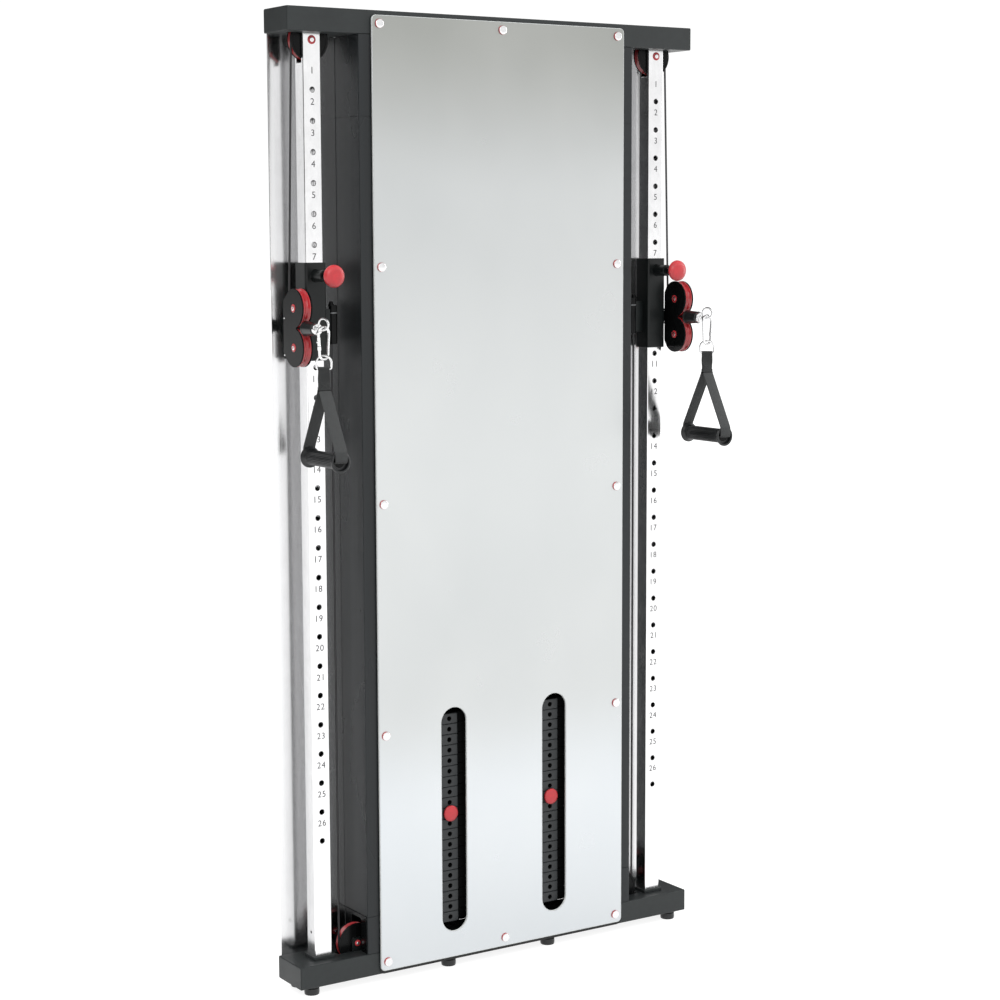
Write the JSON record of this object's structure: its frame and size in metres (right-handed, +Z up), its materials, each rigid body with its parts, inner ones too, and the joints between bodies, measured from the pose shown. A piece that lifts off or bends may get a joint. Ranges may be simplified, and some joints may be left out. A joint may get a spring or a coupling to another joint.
{
  "type": "wall pulley weight stack",
  "caption": "Mirrored wall cabinet with selectorised weight stacks, each driving a cable through a height-adjustable swivelling pulley block to a stirrup handle.",
  "frame": {"origin": "on the floor under the middle of the whole box, handles included", "axes": "+Z up, +X across the cabinet to the right as seen from the front, +Y towards the wall"},
  "size_m": [1.12, 0.295, 2.263],
  "materials": {
    "charcoal_paint": "fine satin powder coat, charcoal grey",
    "casing_paint": "satin powder coat, dark grey",
    "black_paint": "satin black powder coat",
    "black_gloss": "gloss black paint",
    "black_board": "matt black board, chrome cap screws",
    "chrome": "polished chrome plate",
    "stainless": "brushed along Z, near mirror",
    "mirror": "silvered glass, bevelled edge",
    "red_plastic": "moulded, satin gloss",
    "weight_iron": "grey enamel on cast plates",
    "rubber": "moulded, satin",
    "webbing": "woven nylon webbing",
    "cable_coating": "smooth coating over steel rope"
  },
  "bodies": {
    "cabinet": {"bottom_beam": "charcoal_paint", "top_beam": "charcoal_paint", "mirror_glass": "mirror", "mirror_backing": "black_board", "back_panel": "charcoal_paint", "right_upright": "chrome", "right_rear_plate": "stainless", "right_casing_side": "casing_paint", "right_guide_rods": "chrome", "right_stack_rest": "weight_iron", "right_cable_outer_fall": "cable_coating", "right_cable_header": "cable_coating", "right_cable_stack_loop": "cable_coating", "right_cable_return": "cable_coating", "right_cable_inner_fall": "cable_coating", "left_upright": "chrome", "left_rear_plate": "stainless", "left_casing_side": "casing_paint", "left_guide_rods": "chrome", "left_stack_rest": "weight_iron", "left_cable_outer_fall": "cable_coating", "left_cable_header": "cable_coating", "left_cable_stack_loop": "cable_coating", "left_cable_return": "cable_coating", "left_cable_inner_fall": "cable_coating"},
    "right_carriage": {"right_carriage_sleeve": "black_paint"},
    "right_pull_pin": {"right_pull_pin": "red_plastic"},
    "right_block": {"right_block_frame": "black_gloss", "right_cable_stop": "rubber"},
    "right_block_pulley_upper": {"right_block_pulley_upper": "red_plastic"},
    "right_block_pulley_lower": {"right_block_pulley_lower": "red_plastic"},
    "right_handle": {"right_snap_hook": "chrome", "right_strap": "webbing"},
    "right_grip": {"right_grip": "rubber"},
    "right_top_pulley": {"right_top_pulley": "red_plastic"},
    "right_bottom_pulley": {"right_bottom_pulley": "red_plastic"},
    "right_header_pulley_outer": {"right_header_pulley_outer": "red_plastic"},
    "right_header_pulley_inner": {"right_header_pulley_inner": "red_plastic"},
    "right_tail_pulley": {"right_tail_pulley": "red_plastic"},
    "right_stack": {"right_stack_lifted": "weight_iron"},
    "right_stack_pulley": {"right_stack_pulley": "red_plastic"},
    "right_selector_pin": {"right_selector_pin": "red_plastic"},
    "left_carriage": {"left_carriage_sleeve": "black_paint"},
    "left_pull_pin": {"left_pull_pin": "red_plastic"},
    "left_block": {"left_block_frame": "black_gloss", "left_cable_stop": "rubber"},
    "left_block_pulley_upper": {"left_block_pulley_upper": "red_plastic"},
    "left_block_pulley_lower": {"left_block_pulley_lower": "red_plastic"},
    "left_handle": {"left_snap_hook": "chrome", "left_strap": "webbing"},
    "left_grip": {"left_grip": "rubber"},
    "left_top_pulley": {"left_top_pulley": "red_plastic"},
    "left_bottom_pulley": {"left_bottom_pulley": "red_plastic"},
    "left_header_pulley_outer": {"left_header_pulley_outer": "red_plastic"},
    "left_header_pulley_inner": {"left_header_pulley_inner": "red_plastic"},
    "left_tail_pulley": {"left_tail_pulley": "red_plastic"},
    "left_stack": {"left_stack_lifted": "weight_iron"},
    "left_stack_pulley": {"left_stack_pulley": "red_plastic"},
    "left_selector_pin": {"left_selector_pin": "red_plastic"}
  },
  "joints": [
    {"name": "right_carriage_slide", "type": "slide", "parent": "cabinet", "child": "right_carriage", "axis": [0, 0, 1], "range_m": [-1.3125, 0.4144], "deforming": ["right_cable_outer_fall", "right_cable_inner_fall"]},
    {"name": "right_pin_pull", "type": "slide", "parent": "right_carriage", "child": "right_pull_pin", "axis": [0, -1, 0], "range_m": [0, 0.012], "stiffness_N_per_m": 500},
    {"name": "right_block_swivel", "type": "hinge", "parent": "right_carriage", "child": "right_block", "pos_m": [0.5355, 0.0905, 1.55372], "axis": [0, 0, 1], "range_deg": [-15, 75]},
    {"name": "right_block_upper_pulley", "type": "hinge", "parent": "right_block", "child": "right_block_pulley_upper", "pos_m": [0.5355, 0.0463, 1.59792], "axis": [1, 0, 0], "continuous": true},
    {"name": "right_block_lower_pulley", "type": "hinge", "parent": "right_block", "child": "right_block_pulley_lower", "pos_m": [0.5355, 0.0463, 1.50952], "axis": [1, 0, 0], "continuous": true},
    {"name": "right_top_pulley_spin", "type": "hinge", "parent": "cabinet", "child": "right_top_pulley", "pos_m": [0.48, 0.0905, 2.194], "axis": [0, 1, 0], "continuous": true},
    {"name": "right_header_outer_spin", "type": "hinge", "parent": "cabinet", "child": "right_header_pulley_outer", "pos_m": [0.2285, 0.0905, 2.194], "axis": [0, 1, 0], "continuous": true},
    {"name": "right_stack_pulley_spin", "type": "hinge", "parent": "right_stack", "child": "right_stack_pulley", "pos_m": [0.1455, 0.0905, 0.6871], "axis": [0, 1, 0], "continuous": true},
    {"name": "right_stack_lift", "type": "slide", "parent": "cabinet", "child": "right_stack", "axis": [0, 0, 1], "range_m": [0, 1], "deforming": ["right_cable_stack_loop"]},
    {"name": "right_selector_pull", "type": "slide", "parent": "right_stack", "child": "right_selector_pin", "axis": [0, 1, 0], "range_m": [-0.04, 0]},
    {"name": "right_header_inner_spin", "type": "hinge", "parent": "cabinet", "child": "right_header_pulley_inner", "pos_m": [0.0625, 0.0905, 2.194], "axis": [0, 1, 0], "continuous": true},
    {"name": "right_tail_pulley_spin", "type": "hinge", "parent": "cabinet", "child": "right_tail_pulley", "pos_m": [0.045, 0.0905, 0.0755], "axis": [0, 1, 0], "continuous": true},
    {"name": "right_bottom_pulley_spin", "type": "hinge", "parent": "cabinet", "child": "right_bottom_pulley", "pos_m": [0.387, 0.0905, 0.093], "axis": [0, 1, 0], "continuous": true},
    {"name": "right_handle_swing", "type": "hinge", "parent": "right_block", "child": "right_handle", "pos_m": [0.5355, -0.0705, 1.55952], "axis": [-1, 0, 0], "range_deg": [-5, 75]},
    {"name": "right_grip_spin", "type": "hinge", "parent": "right_handle", "child": "right_grip", "pos_m": [0.5355, -0.0705, 1.26662], "axis": [0, 1, 0], "continuous": true},
    {"name": "left_carriage_slide", "type": "slide", "parent": "cabinet", "child": "left_carriage", "axis": [0, 0, 1], "range_m": [-1.3125, 0.4144], "deforming": ["left_cable_outer_fall", "left_cable_inner_fall"]},
    {"name": "left_pin_pull", "type": "slide", "parent": "left_carriage", "child": "left_pull_pin", "axis": [0, -1, 0], "range_m": [0, 0.012], "stiffness_N_per_m": 500},
    {"name": "left_block_swivel", "type": "hinge", "parent": "left_carriage", "child": "left_block", "pos_m": [-0.5355, 0.0905, 1.55372], "axis": [0, 0, -1], "range_deg": [-15, 75]},
    {"name": "left_block_upper_pulley", "type": "hinge", "parent": "left_block", "child": "left_block_pulley_upper", "pos_m": [-0.5355, 0.0463, 1.59792], "axis": [1, 0, 0], "continuous": true},
    {"name": "left_block_lower_pulley", "type": "hinge", "parent": "left_block", "child": "left_block_pulley_lower", "pos_m": [-0.5355, 0.0463, 1.50952], "axis": [1, 0, 0], "continuous": true},
    {"name": "left_top_pulley_spin", "type": "hinge", "parent": "cabinet", "child": "left_top_pulley", "pos_m": [-0.48, 0.0905, 2.194], "axis": [0, -1, 0], "continuous": true},
    {"name": "left_header_outer_spin", "type": "hinge", "parent": "cabinet", "child": "left_header_pulley_outer", "pos_m": [-0.2285, 0.0905, 2.194], "axis": [0, -1, 0], "continuous": true},
    {"name": "left_stack_pulley_spin", "type": "hinge", "parent": "left_stack", "child": "left_stack_pulley", "pos_m": [-0.1455, 0.0905, 0.6871], "axis": [0, -1, 0], "continuous": true},
    {"name": "left_stack_lift", "type": "slide", "parent": "cabinet", "child": "left_stack", "axis": [0, 0, 1], "range_m": [0, 1], "deforming": ["left_cable_stack_loop"]},
    {"name": "left_selector_pull", "type": "slide", "parent": "left_stack", "child": "left_selector_pin", "axis": [0, 1, 0], "range_m": [-0.04, 0]},
    {"name": "left_header_inner_spin", "type": "hinge", "parent": "cabinet", "child": "left_header_pulley_inner", "pos_m": [-0.0625, 0.0905, 2.194], "axis": [0, -1, 0], "continuous": true},
    {"name": "left_tail_pulley_spin", "type": "hinge", "parent": "cabinet", "child": "left_tail_pulley", "pos_m": [-0.045, 0.0905, 0.0755], "axis": [0, -1, 0], "continuous": true},
    {"name": "left_bottom_pulley_spin", "type": "hinge", "parent": "cabinet", "child": "left_bottom_pulley", "pos_m": [-0.387, 0.0905, 0.093], "axis": [0, -1, 0], "continuous": true},
    {"name": "left_handle_swing", "type": "hinge", "parent": "left_block", "child": "left_handle", "pos_m": [-0.5355, -0.0705, 1.55952], "axis": [-1, 0, 0], "range_deg": [-5, 75]},
    {"name": "left_grip_spin", "type": "hinge", "parent": "left_handle", "child": "left_grip", "pos_m": [-0.5355, -0.0705, 1.26662], "axis": [0, 1, 0], "continuous": true}
  ],
  "couplings": [
    {"joint": "right_block_upper_pulley", "follows": "right_stack_lift", "rad_per_m": -45.249},
    {"joint": "right_top_pulley_spin", "follows": "right_stack_lift", "rad_per_m": 48.193},
    {"joint": "right_header_outer_spin", "follows": "right_stack_lift", "rad_per_m": 48.193},
    {"joint": "right_stack_pulley_spin", "follows": "right_stack_lift", "rad_per_m": -24.096},
    {"joint": "right_header_inner_spin", "follows": "right_carriage_slide", "rad_per_m": -24.096},
    {"joint": "right_tail_pulley_spin", "follows": "right_carriage_slide", "rad_per_m": -41.667},
    {"joint": "right_bottom_pulley_spin", "follows": "right_carriage_slide", "rad_per_m": -24.096},
    {"joint": "left_block_upper_pulley", "follows": "left_stack_lift", "rad_per_m": -45.249},
    {"joint": "left_top_pulley_spin", "follows": "left_stack_lift", "rad_per_m": 48.193},
    {"joint": "left_header_outer_spin", "follows": "left_stack_lift", "rad_per_m": 48.193},
    {"joint": "left_stack_pulley_spin", "follows": "left_stack_lift", "rad_per_m": -24.096},
    {"joint": "left_header_inner_spin", "follows": "left_carriage_slide", "rad_per_m": -24.096},
    {"joint": "left_tail_pulley_spin", "follows": "left_carriage_slide", "rad_per_m": -41.667},
    {"joint": "left_bottom_pulley_spin", "follows": "left_carriage_slide", "rad_per_m": -24.096}
  ]
}
